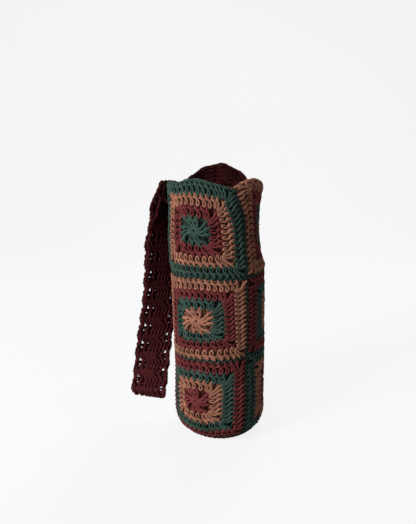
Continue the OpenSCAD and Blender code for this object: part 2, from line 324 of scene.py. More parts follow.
class Bag:
    """The wall's section and the way that the worn wall strays from it, in mm."""

    def __init__(self, shape):
        self.radius, self.heel, self.seam = (x / MM for x in (shape.radius, shape.heel_radius, shape.seam))
        self.heel_len = self.heel * math.pi / 2
        self.flat = self.radius - self.heel
        self.rows = {}
        low = self.heel_len / 2
        for row in ROWS_DOWN:
            height = getattr(shape, f"{row}_square") / MM
            self.rows[row] = (low, low + height)
            low += height + self.seam
        self.rim_v = self.rows["top"][1]
        self.rim_h = self.height(self.rim_v)
        self.base_v = self.rows["bottom"][0] - self.seam

    def height(self, v):
        return self.heel + v - self.heel_len

    def point(self, turn, v, depth):
        """Places points given by turn, distance along the section and depth below the face."""
        turn, v, depth = np.broadcast_arrays(*(np.asarray(x, float) for x in (turn, v, depth)))
        rolled = np.clip(v - self.rim_v + LIP_START, 0, LIP_RADIUS * LIP_ROLL) / LIP_RADIUS
        rise = stray(RISE_STRAY, turn, v) * smooth_step((self.rim_v - v) / STRAY_FADE)
        turn, v = turn + stray(TURN_STRAY, turn, v), v + rise + LIP_RADIUS * (np.sin(rolled) - rolled)
        depth = depth + LIP_RADIUS * (1 - np.cos(rolled))
        bend = np.clip(v / self.heel_len, 0, 1) * math.pi / 2
        r = self.flat + np.minimum(v, 0) + (self.heel - depth) * np.sin(bend)
        z = self.heel - (self.heel - depth) * np.cos(bend) + np.maximum(v - self.heel_len, 0)
        worn = smooth_step((z - WORN_FROM) / WORN_OVER)
        rim = np.interp(turn, *np.transpose(RIM_LINE), period=360)
        z = z + smooth_step((z - RIM_FROM) / RIM_OVER) * (rim - self.rim_h)
        t = np.radians(turn)
        swell = sum(out * np.sin(waves * t + z / tall + start) for out, waves, tall, start in SWELLS)
        r = r + worn * (swell * SWELL + table(WALL_SLACK, z))
        for middle, reach, low, out in RIM_FLARES:
            r = r + out * np.exp(-(past(turn, middle) / reach) ** 2) * smooth_step((z - low) / FLARE_OVER)
        middle, reach, high, tall, out = PUCKER
        r = r + out * np.exp(-(past(turn, middle) / reach) ** 2 - ((z - high) / tall) ** 2)
        return np.stack((r * np.sin(t) + worn * table(WALL_LEAN, z), -r * np.cos(t), z), -1)


# Faces round a strand of yarn, and the four faces that close its ends
SIDES = 6
END_FACES = ((0, (3, 2, 1, 0)), (0, (5, 4, 3, 0)), (-1, (0, 1, 2, 3)), (-1, (0, 3, 4, 5)))
# How much painted shade darkens a strand towards its inward side, and where round it that begins
UNDER_SHADE, UNDER_FROM = 0.16, 0.7
# How far each strand's plies are shifted along it at most, in mm
PLY_SHIFT = 5
# Free border of a strand's patch in the bake layout
BAKE_BORDER = 0.06
# Points along a short strand
SHORT_SAMPLES = 10


def face_corners(along, strands):
    """Places round a strand and along it for the four corners of each of its faces."""
    shape = (strands, along.shape[-1] - 1, SIDES)
    u = np.arange(SIDES + 1) / SIDES
    u0, u1, a0, a1 = (np.broadcast_to(x, shape) for x in (
        u[:-1], u[1:], along[..., :-1, None], along[..., 1:, None]))
    corners = np.stack((np.stack((u0, u1, u1, u0), -1), np.stack((a0, a0, a1, a1), -1)), -1)
    return corners.reshape(strands, -1, 2)


class Yarn:
    """Gathers the lengths of yarn of one piece as tubes and makes its mesh."""

    def __init__(self, seed):
        self.random = np.random.default_rng(seed)
        self.points, self.quads, self.ply, self.cell, self.place, self.tone = [], [], [], [], [], []
        self.total = 0
        self.strands = 0

    def lay(self, lines, up, radius, tone, breadth=None, under=UNDER_SHADE):
        """Lays tubes along lines, an array of strands, points and places in mm.
        up is each strand's outward direction, breadth its half width where it is flattened,
        and under how much painted shade darkens it round to its inward side."""
        strands, count = lines.shape[:2]
        run = unit(np.gradient(lines, axis=1))
        out = np.empty_like(lines)
        out[:, 0] = unit(up - (up * run[:, 0]).sum(-1, keepdims=True) * run[:, 0])
        for i in range(1, count):
            out[:, i] = unit(out[:, i - 1] - (out[:, i - 1] * run[:, i]).sum(-1, keepdims=True) * run[:, i])
        across = np.cross(run, out)
        radius = np.broadcast_to(radius, (strands, count))
        breadth = radius if breadth is None else np.broadcast_to(breadth, (strands, count))
        angle = np.arange(SIDES) * 2 * math.pi / SIDES
        ring = (lines[:, :, None] + (radius[:, :, None] * np.cos(angle))[..., None] * out[:, :, None]
                + (breadth[:, :, None] * np.sin(angle))[..., None] * across[:, :, None])
        at = (np.arange(strands * count * SIDES) + self.total).reshape(strands, count, SIDES)
        nxt = np.roll(at, -1, axis=2)
        sides = np.stack((at[:, :-1], nxt[:, :-1], nxt[:, 1:], at[:, 1:]), -1)
        ends = np.stack([at[:, end][:, order] for end, order in END_FACES], 1)
        self.points.append(ring.reshape(-1, 3))
        self.quads.append(np.concatenate((sides.reshape(-1, 4), ends.reshape(-1, 4))))

        steps = np.linalg.norm(np.diff(lines, axis=1), axis=-1)
        length = np.concatenate((np.zeros((strands, 1)), np.cumsum(steps, 1)), 1)
        length = length + self.random.random((strands, 1)) * PLY_SHIFT
        ply = face_corners(length, strands).reshape(-1, 2)
        self.ply.append(np.concatenate((ply, np.zeros((ends.size, 2)))))
        place = face_corners(np.arange(count) / (count - 1), strands)
        caps = np.repeat(np.array(((0, 0), (0, 1))), ends[0].size // 2, axis=0)
        cell = np.arange(self.strands, self.strands + strands)
        self.cell += [np.repeat(cell, place.shape[1]), np.repeat(cell, len(caps))]
        self.place += [place.reshape(-1, 2), np.tile(caps, (strands, 1))]

        tone = np.asarray(tone, float)
        tone = np.broadcast_to(tone if tone.ndim == 2 else tone.reshape(-1, 1), (strands, count))
        # painted shade: each ring darkens round to the strand's inward side
        self.tone.append((tone[:, :, None] - under * np.clip(UNDER_FROM - np.cos(angle), 0, 2)).ravel())
        self.total += strands * count * SIDES
        self.strands += strands

    def make(self, name, material):
        """Makes the piece's object."""
        points = np.concatenate(self.points) * MM
        quads = np.concatenate(self.quads)
        mesh = bpy.data.meshes.new(name)
        mesh.vertices.add(len(points))
        mesh.vertices.foreach_set("co", points.astype(np.float32).ravel())
        mesh.loops.add(quads.size)
        mesh.loops.foreach_set("vertex_index", quads.astype(np.int32).ravel())
        mesh.polygons.add(len(quads))
        mesh.polygons.foreach_set("loop_start", np.arange(0, quads.size, 4, dtype=np.int32))
        mesh.polygons.foreach_set("use_smooth", np.ones(len(quads), bool))
        mesh.update(calc_edges=True)
        across = math.ceil(math.sqrt(self.strands))
        cell = np.concatenate(self.cell)
        inside = BAKE_BORDER + (1 - 2 * BAKE_BORDER) * np.concatenate(self.place)
        baked = (np.stack((cell % across, cell // across), -1) + inside) / across
        for layer, uv in (("ply", np.concatenate(self.ply)), ("OFBake", baked)):
            mesh.uv_layers.new(name=layer).data.foreach_set("uv", uv.astype(np.float32).ravel())
        tone = mesh.attributes.new("tone", "FLOAT", "POINT")
        tone.data.foreach_set("value", np.concatenate(self.tone).astype(np.float32))
        mesh.materials.append(material)
        made = bpy.data.objects.new(name, mesh)
        bpy.context.collection.objects.link(made)
        return made


# One double crochet from the front, strand by strand: across the row, along the post from its foot
# to its top, and mm out from the middle of the fabric
FRONT_LOOP = (
    (0.06, 0.58, -0.2), (0.13, 0.44, 0.6), (0.16, 0.26, 0.95), (0.09, 0.08, 1.05), (-0.07, 0.04, 1.05),
    (-0.20, 0.14, 1.05), (-0.27, 0.29, 1.15), (-0.25, 0.43, 1.25), (-0.14, 0.54, 1.35), (0.05, 0.64, 1.4),
    (0.25, 0.73, 1.35), (0.40, 0.85, 1.3), (0.46, 0.99, 1.2), (0.45, 1.11, 0.8), (0.41, 1.17, 0.1),
    (0.34, 1.10, -0.7),
)
# Thickness of the front loop along its length, as shares of the yarn's
LOOP_GIRTH = (0.8, 0.95, 1.1, 1.3, 1.3, 1.1, 1.02, 1.04, 1.08, 1.1, 1.12, 1.15, 1.15, 1.1, 0.95, 0.9)
LOWER_STRAND = (
    (-0.18, 0.60, -0.3), (-0.05, 0.71, 0.5), (0.10, 0.81, 0.85), (0.24, 0.93, 0.9), (0.34, 1.06, 0.5),
    (0.36, 1.12, -0.5),
)
TIE = ((0.12, 0.60, 0.7), (0.34, 0.69, 1.05), (0.56, 0.745, 1.05), (0.78, 0.75, 0.9), (0.96, 0.71, 0.3))
BACK_POST = (
    (-0.20, -0.05, -0.4), (-0.26, 0.10, -1.0), (-0.06, 0.34, -1.2), (0.10, 0.52, -1.2),
    (-0.08, 0.78, -1.05), (-0.22, 0.96, -0.5),
)
BACK_WRAP = (
    (0.08, 0.0, -0.4), (0.04, 0.14, -0.9), (0.24, 0.36, -1.1), (0.40, 0.54, -1.05), (0.22, 0.78, -0.95),
    (0.10, 0.95, -0.5),
)
TOP_FRONT = ((-0.55, 0.98, -0.5), (-0.2, 1.0, 0.0), (0.2, 1.02, 0.05), (0.55, 1.0, -0.4))
TOP_BACK = ((-0.62, 1.0, -0.5), (-0.25, 1.03, -1.15), (0.2, 1.03, -1.2), (0.55, 1.0, -0.6))
# Each strand's points along it and its thickness as a share of the yarn's
STRANDS = (
    (FRONT_LOOP, 24, LOOP_GIRTH), (LOWER_STRAND, 8, 1.05), (TIE, 7, 0.92), (BACK_POST, 8, 1.05),
    (BACK_WRAP, 8, 1.0), (TOP_FRONT, 6, 0.9), (TOP_BACK, 6, 1.0),
)
# How much wider than thick a strand lies
STRAND_FLATNESS = 1.1
# Strands that lie on average below this many mm out face the fabric's other side
BACK_HEIGHT = -0.3
# How the yarn varies: tone, mm across and along the row, height and thickness
TONE_SPREAD, NUDGE, LOFT_SPREAD, GIRTH_SPREAD = 0.06, (0.22, 0.18), 0.12, 0.05
# The yarn packed behind each post, its radius in mm, and the shares of the post's breadths along it
POST_CORE = ((0.0, 0.0, -0.75), (0.0, 0.35, -0.7), (0.0, 0.7, -0.7), (0.0, 1.0, -0.75))
CORE_RADIUS = 0.4
CORE_SHARES = (0.04, 0.35, 0.7, 1.0)
# Lean of a stitch's top past its foot, as a share of the pitch
TOP_LEAN = 0.26
# Painted shade in the fabric's hollows: how much darker the yarn grows by each mm that it lies below
# HOLLOW_FROM mm from the fabric's middle
HOLLOW_SHADE, HOLLOW_FROM = 0.26, 1.15


class Stitches:
    """A run of double crochet: the foot, top and breadth of each stitch on a flat pattern."""

    def __init__(self, foot, top, foot_across, top_across, closed=(0.0, 1.0), pitch=None):
        self.foot, self.top, self.foot_across, self.top_across = foot, top, foot_across, top_across
        # Shares of a post between which its hidden side is closed
        self.closed = np.broadcast_to(closed, (len(foot), 2))
        self.pitch = np.linalg.norm((foot_across, top_across), axis=-1) if pitch is None else pitch

    def flat(self, shape, out, between=None):
        """Places of a shape's points on the pattern for every stitch, and their mm out from its middle."""
        x, y, z = np.asarray(shape, float).T
        if between is not None:
            y = between[:, :1] + (between[:, 1:] - between[:, :1]) * y
        else:
            y = np.broadcast_to(y, (len(self.foot), len(y)))
        y = y[..., None]
        at = self.foot[:, None] * (1 - y) + self.top[:, None] * y
        share = np.clip(y, 0, 1)
        wide = self.foot_across[:, None] * (1 - share) + self.top_across[:, None] * share
        return at + wide * x[None, :, None], np.broadcast_to(z * out, y.shape[:2])


def outward(place, at, middle):
    """The fabric's outward direction where each strand starts."""
    start = at[:, :1]
    depth = np.full(start.shape[:2], float(middle))
    return (place(start, depth - 1) - place(start, depth))[:, 0]


def work(yarn, stitches, place, middle, thickness, looseness, face=1.0, shade=0.0, pad=(0.16, 0.7),
         inner=0.0, tied=slice(None)):
    """Works double crochet into a piece of yarn. place turns pattern places and depths into points,
    and face is -1 for stitches seen from behind. pad is the tone of the yarn behind the posts, darkened
    as painted shade, and its share of their breadth, inner how much painted shade darkens the yarn
    above the middle, and tied the stitches that are tied to the next."""
    count = len(stitches.foot)
    random = yarn.random
    tone = 0.5 + shade + TONE_SPREAD * random.standard_normal(count)
    nudge = looseness * random.standard_normal((count, 2)) * NUDGE
    loft = 1 + looseness * LOFT_SPREAD * random.standard_normal(count)
    for shape, samples, girth in STRANDS:
        at, out = stitches.flat(shape, face)
        at = at + nudge[:, None]
        deep = middle - out * loft[:, None]
        lines = curves(place(at, deep), samples)
        weights = curve_weights(len(shape), samples)
        heights = weights @ np.asarray(shape)[:, 2]
        up = outward(place, at, middle) * (face if heights.mean() > BACK_HEIGHT else -face)
        # painted shade on the strands that lie deep in the fabric
        hollow = HOLLOW_SHADE * np.maximum(HOLLOW_FROM - np.abs(heights), 0)
        girth = weights @ np.broadcast_to(girth, len(shape))
        radius = thickness / 2 * girth * (1 + GIRTH_SPREAD * random.standard_normal((count, 1)))
        tones = tone[:, None] - hollow - inner * np.clip(-deep @ weights.T, 0, 1)
        laid = tied if shape is TIE else slice(None)
        yarn.lay(lines[laid], up[laid], radius[laid], tones[laid], radius[laid] * STRAND_FLATNESS)
    at, out = stitches.flat(POST_CORE, face, stitches.closed)
    share = np.array(CORE_SHARES)
    spread = stitches.pitch[0][:, None] * (1 - share) + stitches.pitch[1][:, None] * share
    # The yarn behind the posts: its tone darkened as painted shade, with half the inner painted shade
    tone, breadth = pad
    yarn.lay(place(at, middle - out), outward(place, at, middle), CORE_RADIUS,
             tone + shade - inner / 2, spread * breadth)


def square_side(side, number, half_w, half_h, t):
    """Points on one side of a round's outer edge, counterclockwise from the lower left."""
    share = ROUND_SHARE[number] * ROUND_COVER[number]
    corners = np.array(((-1, -1), (1, -1), (1, 1), (-1, 1)), float) * (half_w * share, half_h * share)
    a, b = corners[side], corners[(side + 1) % 4]
    t = np.asarray(t, float)[:, None]
    return (a * (1 - t) + b * t) * (1 - CORNER_PULL[number] * np.abs(2 * t - 1) ** 3)


# The ring that the centre is worked into: its radius and breadth in mm, how far back along the side
# a post leaves it, in pitches, and the closed shares of a post
RING_RADIUS, RING_BREADTH, RING_TURN = 0.85, 0.95, 0.75
CENTRE_CLOSED = (-0.05, 0.94)
# The two posts at each end of a side, which fan out at the corner: their breadth, how far they start
# from the corner in mm, and where they are closed, from below and, for the outermost, to its top
FAN_BREADTH, FAN_START, FAN_CLOSED, FAN_TOP = 0.62, 1.5, 0.2, 0.9
# The foot of a side's second post, in pitches of the round before it
SECOND_FOOT = 0.3
# The chain round a corner: its points before and after it, in pitches, and how far it is drawn in
CHAIN_BEFORE, CHAIN_AFTER, CHAIN_CORNER = (0.75, 0.3), (0.3, 1.1), 0.985
# The two strands of that chain: depth, half width and tone; the deep, broad one is near black, painted
# shade behind the corner hole
CHAIN_STRANDS = ((2.2, 0.6, 0.4), (2.9, 1.7, -0.1))


def square_stitches(number, half_w, half_h):
    """The double crochet of one round of a square, on a flat pattern."""
    n = STITCHES_A_SIDE[number]
    sides = []
    for side in range(4):
        t_top = (np.arange(n) + 1.0) / (n + 1)
        tops = square_side(side, number, half_w, half_h, t_top + TOP_LEAN / (n + 1))
        length = (half_w if side % 2 == 0 else half_h) * 2
        direction = np.array(((1.0, 0.0), (0.0, 1.0), (-1.0, 0.0), (0.0, -1.0)))[side][None]
        pitch = length * ROUND_SHARE[number] / (n + 1)
        if number == 0:
            feet = unit(tops - direction * RING_TURN * pitch) * RING_RADIUS
            widths = unit(np.stack((-feet[:, 1], feet[:, 0]), -1)) * RING_BREADTH
            closed = np.tile(CENTRE_CLOSED, (n, 1))
        else:
            m = STITCHES_A_SIDE[number - 1]
            t_foot = np.concatenate((
                (0.0, SECOND_FOOT / (m + 1)), (np.arange(m) + 1.0 + TOP_LEAN) / (m + 1), (1.0, 1.0)))
            feet = square_side(side, number - 1, half_w, half_h, t_foot)
            inner_pitch = length * ROUND_SHARE[number - 1] / (m + 1)
            fan = np.ones(n)
            fan[[0, 1, -2, -1]] = FAN_BREADTH
            feet = feet + unit(tops - feet) * np.where(fan < 1, FAN_START, 0.0)[:, None]
            widths = direction * (inner_pitch * fan)[:, None]
            closed = np.stack((np.where(fan < 1, FAN_CLOSED, 0.0), np.ones(n)), -1)
            closed[[0, -1], 1] = FAN_TOP
        sides.append((feet, tops, widths, np.repeat(direction * pitch, n, axis=0), closed))
    return Stitches(*(np.concatenate(x) for x in zip(*sides)))


def corner_chains(number, half_w, half_h):
    """Control points of the chain at each corner of a round."""
    gaps = STITCHES_A_SIDE[number] + 1
    chains = []
    for side in range(4):
        before = square_side(side, number, half_w, half_h, 1 - np.array(CHAIN_BEFORE) / gaps)
        corner = square_side(side, number, half_w, half_h, np.ones(1)) * CHAIN_CORNER
        after = square_side((side + 1) % 4, number, half_w, half_h, np.array(CHAIN_AFTER) / gaps)
        chains.append(np.concatenate((before, corner, after)))
    return np.array(chains)


# How rough and how shiny the yarn is
YARN_ROUGHNESS, YARN_SHINE = 0.88, 0.02
# Plies round the yarn, and half turns that they wind in each mm
PLIES, PLY_TURNS = 3, 0.62
# Scale and detail of the uneven dye and of the fibres, and how much each shows
DYE, DYE_SHOWN = (55, 3), 0.34
FIBRES, FIBRES_SHOWN = (1900, 4), 0.35
# How much lighter the plies are than the grooves, a painted shade in the grooves, and their relief:
# strength and metres
PLY_SHOWN, RELIEF, RELIEF_HEIGHT = 0.22, 0.7, 0.00022
# The yarn's colour by its tone, which carries painted shade and light: place, share of the colour and
# what is added to it
TONE_COLOURS = ((0.30, 0.06, 0), (1.0, 1.4, 0.001), (0.5, 0.62, 0), (0.76, 0.95, 0))


def set_inputs(node, values):
    """Sets a node's inputs by their names."""
    for name, value in values.items():
        node.inputs[name].default_value = value


def yarn_material(name, colour):
    """Spun yarn: plies that wind round it, with painted shade in their grooves, fine fibres, and a colour
    that varies from stitch to stitch and takes the painted shade and light carried by the tone.
    """
    material = bpy.data.materials.new(name)
    material.use_nodes = True
    nodes, links = material.node_tree.nodes, material.node_tree.links

    def reckon(operation, *values):
        """A sum whose values are numbers or other nodes' outputs."""
        node = nodes.new("ShaderNodeMath")
        node.operation = operation
        for socket, value in zip(node.inputs, values):
            if isinstance(value, bpy.types.NodeSocket):
                links.new(value, socket)
            else:
                socket.default_value = value
        return node.outputs[0]

    def noise(scale, detail):
        node = nodes.new("ShaderNodeTexNoise")
        set_inputs(node, {"Scale": scale, "Detail": detail})
        links.new(place.outputs["Object"], node.inputs["Vector"])
        return node.outputs["Fac"]

    shader = nodes["Principled BSDF"]
    set_inputs(shader, {"Roughness": YARN_ROUGHNESS, "Specular IOR Level": YARN_SHINE})
    place = nodes.new("ShaderNodeTexCoord")
    tone = nodes.new("ShaderNodeAttribute")
    tone.attribute_name = "tone"
    uv = nodes.new("ShaderNodeUVMap")
    uv.uv_map = "ply"
    split = nodes.new("ShaderNodeSeparateXYZ")
    links.new(uv.outputs["UV"], split.inputs["Vector"])
    around = reckon("MULTIPLY", split.outputs["X"], PLIES)
    wound = reckon("MULTIPLY_ADD", split.outputs["Y"], PLY_TURNS, around)
    ply = reckon("ABSOLUTE", reckon("SINE", reckon("MULTIPLY", wound, math.pi)))
    shade = reckon("MULTIPLY_ADD", noise(*DYE), DYE_SHOWN, tone.outputs["Fac"])
    ramp = nodes.new("ShaderNodeValToRGB")
    elements = ramp.color_ramp.elements
    for number, (position, share, added) in enumerate(TONE_COLOURS):
        stop = elements[number] if number < 2 else elements.new(position)
        stop.position = position
        stop.color = (*[min(1, c * share + added) for c in colour], 1)
    links.new(reckon("MULTIPLY_ADD", ply, PLY_SHOWN, shade), ramp.inputs["Fac"])
    links.new(ramp.outputs["Color"], shader.inputs["Base Color"])
    bump = nodes.new("ShaderNodeBump")
    set_inputs(bump, {"Strength": RELIEF, "Distance": RELIEF_HEIGHT})
    links.new(reckon("MULTIPLY_ADD", noise(*FIBRES), FIBRES_SHOWN, ply), bump.inputs["Height"])
    links.new(bump.outputs["Normal"], shader.inputs["Normal"])
    return material


def yarn_of(slot):
    """The material of a yarn, made once."""
    name = slot + "_spun"
    if name in bpy.data.materials:
        return bpy.data.materials[name]
    finish = bpy.context.scene.carrier_yarn
    colours = {
        GREEN: finish.green, BROWN: finish.light_brown, MAROON: finish.maroon, DARK: finish.dark_maroon,
    }
    return yarn_material(name, tuple(colours[slot]))


def fit(made, body, slot, *nodes):
    """Puts a piece on its body in place of its plain solids."""
    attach(made, body)
    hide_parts(*nodes)


# A strand of the chain along the rim: pitches along it, mm up, and mm from the fabric's middle
RIM_CHAIN = ((0.62, -0.6, 0.9), (0.2, -0.1, 1.25), (-0.25, 0.5, 1.2), (-0.55, 1.0, 0.6))
# How much thicker the yarn of a centre is than that of the other rounds
CENTRE_GIRTH = 1.14
# Radius of the rim's and the corners' chains as shares of the yarn's thickness, points along a strand
# of the rim's chain, its tone and how that varies
RIM_GIRTH, CORNER_GIRTH = 0.56, 0.45
RIM_SAMPLES, RIM_TONE, RIM_TONE_SPREAD = 8, 0.5, 0.1


class CARRIER_OT_squares(bpy.types.Operator):
    """Works the nine squares, four rounds each"""
    bl_idname = "carrier.squares"
    bl_label = "Squares"

    def rim_chain(self, yarn, place, half_w, half_h, thick):
        """Lays the chain of stitch tops that finishes the rim, two strands to a stitch."""
        count = STITCHES_A_SIDE[3] + 1
        pitch = 2 * half_w / count
        middles = np.stack((pitch * (np.arange(count) + 0.5) - half_w, np.full(count, half_h)), -1)
        for side in (-1, 1):
            shape = np.array(RIM_CHAIN) * (1, 1, side) + (0, 0, WALL_MIDDLE)
            weights = curve_weights(len(shape), RIM_SAMPLES)
            flat = middles[:, None] + (weights @ shape[:, :2]) * (pitch, 1.0)
            lines = place(flat, np.broadcast_to(weights @ shape[:, 2], flat.shape[:2]))
            yarn.lay(lines, lines[:, 0] * (-side, -side, 0), thick * RIM_GIRTH,
                     RIM_TONE + RIM_TONE_SPREAD * yarn.random.standard_normal(count))

    def execute(self, context):
        finish = context.scene.carrier_yarn
        bag = Bag(context.scene.carrier_bag)
        thick = finish.thickness / MM
        half_turn = 180 / len(COLUMNS) - math.degrees(bag.seam / 2 / bag.radius)
        half_w = math.radians(half_turn) * bag.radius
        seed = 0
        for column_number, (column, turn) in enumerate(COLUMNS.items()):
            for row, (low, high) in bag.rows.items():
                half_h = (high - low) / 2
                mid_v = (low + high) / 2

                def place(at, depth, turn=turn, mid_v=mid_v):
                    return bag.point(turn + at[..., 0] / half_w * half_turn, mid_v + at[..., 1], depth)

                for number, round_name in enumerate(ROUND_NAMES):
                    seed += 1
                    yarn = Yarn(seed)
                    work(yarn, square_stitches(number, half_w, half_h), place, WALL_MIDDLE,
                         thick * (1.0 if number else CENTRE_GIRTH), finish.looseness)
                    flat = curves(corner_chains(number, half_w, half_h), SHORT_SAMPLES)
                    for depth, breadth, tone in CHAIN_STRANDS:
                        lines = place(flat, np.full(flat.shape[:2], depth))
                        yarn.lay(lines, lines[:, 0] * (1, 1, 0), thick * CORNER_GIRTH, tone, breadth)
                    if row == "top" and number == 3:
                        self.rim_chain(yarn, place, half_w, half_h, thick)
                    slot = YARN_CYCLE[(column_number + ROWS_DOWN[row] - number) % len(YARN_CYCLE)]
                    name = f"{column}_{row}_{round_name}"
                    fit(yarn.make(f"{name}_yarn", yarn_of(slot)), "bag", slot, name)
        return {"FINISHED"}


# One whip stitch: mm across the seam, share of the step along it, and depth in mm
WHIP = (
    (-1.9, 0.0, 2.6), (-1.35, 0.1, 1.1), (-0.4, 0.35, 0.55), (0.5, 0.7, 0.6), (1.35, 0.9, 1.2),
    (1.9, 1.0, 2.6),
)
# Its radius as a share of the yarn's thickness, its tone and how that varies
WHIP_GIRTH, WHIP_TONE, WHIP_TONE_SPREAD = 0.42, 0.45, 0.12
# The joining yarn's thickness as a share of the squares', and the yarn that runs along under its
# stitches: depth, radius, tone, darkened as painted shade in the seam, and half width
SEAM_GIRTH = 0.75
BACKING_DEPTH, BACKING = 2.3, (0.8, 0.2, 1.6)
# Turns of the upright seams, the length of their whip stitches in mm and the number round the bag
UPRIGHTS = (("seam_front_right", 33), ("seam_right_back", 153), ("seam_back_front", -87))
UPRIGHT_STEP, STITCHES_ROUND = 4.5, 54
# Points along the yarn under an upright seam and under a ring
UPRIGHT_POINTS, RING_POINTS = 80, 121


class CARRIER_OT_seams(bpy.types.Operator):
    """Whips the squares together with joining yarn"""
    bl_idname = "carrier.seams"
    bl_label = "Seams"

    def whip(self, yarn, bag, starts, run, thick):
        """Lays whip stitches: starts are places round the bag and up it, run the step to the next one."""
        shape = np.array(WHIP)
        wide = unit(np.array((-run[1], run[0])))
        flat = starts[:, None] + np.array(run) * shape[None, :, 1:2] + wide * shape[None, :, 0:1]
        flat = curves(flat, SHORT_SAMPLES)
        depth = curve_weights(len(shape), SHORT_SAMPLES) @ shape[:, 2]
        lines = bag.point(np.degrees(flat[..., 0] / bag.radius), flat[..., 1], depth)
        yarn.lay(lines, lines[:, 3] * (1, 1, 0), thick * WHIP_GIRTH,
                 WHIP_TONE + WHIP_TONE_SPREAD * yarn.random.standard_normal(len(starts)))

    def finish(self, yarn, bag, turns, vs, name):
        """Lays the yarn that runs along under the whip stitches and makes the seam."""
        lines = bag.point(turns, vs, BACKING_DEPTH)[None]
        yarn.lay(lines, lines[:, 0] * (1, 1, 0), *BACKING)
        fit(yarn.make(f"{name}_yarn", yarn_of(GREEN)), "bag", GREEN, name)

    def execute(self, context):
        bag = Bag(context.scene.carrier_bag)
        thick = context.scene.carrier_yarn.thickness / MM * SEAM_GIRTH
        first, last = bag.rows["bottom"][0], bag.rim_v
        count = int((last - first) / UPRIGHT_STEP)
        for number, (name, turn) in enumerate(UPRIGHTS):
            yarn = Yarn(100 + number)
            v = first + (last - first) * np.arange(count) / count
            starts = np.stack((np.full(count, math.radians(turn) * bag.radius), v), -1)
            self.whip(yarn, bag, starts, (0, (last - first) / count), thick)
            self.finish(yarn, bag, np.full(UPRIGHT_POINTS, float(turn)),
                        np.linspace(first, last, UPRIGHT_POINTS), name)
        rings = (("seam_upper", bag.rows["middle"][1]), ("seam_lower", bag.rows["bottom"][1]),
                 ("seam_base", bag.base_v))
        around = 2 * math.pi * bag.radius
        for number, (name, low) in enumerate(rings):
            yarn = Yarn(110 + number)
            v = low + bag.seam / 2
            places = np.arange(STITCHES_ROUND) / STITCHES_ROUND * around
            starts = np.stack((places, np.full(STITCHES_ROUND, v)), -1)
            self.whip(yarn, bag, starts, (around / STITCHES_ROUND, 0), thick)
            self.finish(yarn, bag, np.linspace(0, 360, RING_POINTS), np.full(RING_POINTS, v), name)
        return {"FINISHED"}


# The base: stitches in its first round and that each round adds, its hole's radius, each round's
# share of its step, lean of a stitch's top, and the yarn's depth and thickness
BASE_STITCHES, BASE_HOLE, BASE_COVER, BASE_LEAN = 12, 1.6, 0.98, 100
BASE_MIDDLE, BASE_GIRTH = 1.75, 0.9
# Least radius at which the base's posts have their full breadth, in mm
BASE_INSIDE = 2.0


class CARRIER_OT_base(bpy.types.Operator):
    """Works the round base"""
    bl_idname = "carrier.base"
    bl_label = "Base"

    def execute(self, context):
        bag = Bag(context.scene.carrier_bag)
        thick = context.scene.carrier_yarn.thickness / MM * BASE_GIRTH
        span = bag.flat + bag.base_v
        rounds = len(ROUND_NAMES)

        def place(at, depth):
            return bag.point(at[..., 0], at[..., 1], depth)

        for number, round_name in enumerate(ROUND_NAMES):
            count = BASE_STITCHES * (number + 1)
            angle = 360 * (np.arange(count) + 0.5 * (number % 2)) / count
            low = max(span * number / rounds, BASE_HOLE) - bag.flat
            high = span * (number + 1) / rounds * BASE_COVER - bag.flat
            foot = np.stack((angle, np.full(count, low)), -1)
            top = np.stack((angle + BASE_LEAN / count, np.full(count, high)), -1)
            across = np.stack((np.full(count, 360 / count), np.zeros(count)), -1)
            radii = np.array([max(low + bag.flat, BASE_INSIDE), min(high + bag.flat, bag.radius)])
            pitch = np.repeat((radii * 2 * math.pi / count)[:, None], count, axis=1)
            yarn = Yarn(120 + number)
            work(yarn, Stitches(foot, top, across, across, pitch=pitch), place, BASE_MIDDLE, thick, 0.0)
            name = f"base_{round_name}"
            fit(yarn.make(f"{name}_yarn", yarn_of(DARK)), "bag", DARK, name)
        return {"FINISHED"}


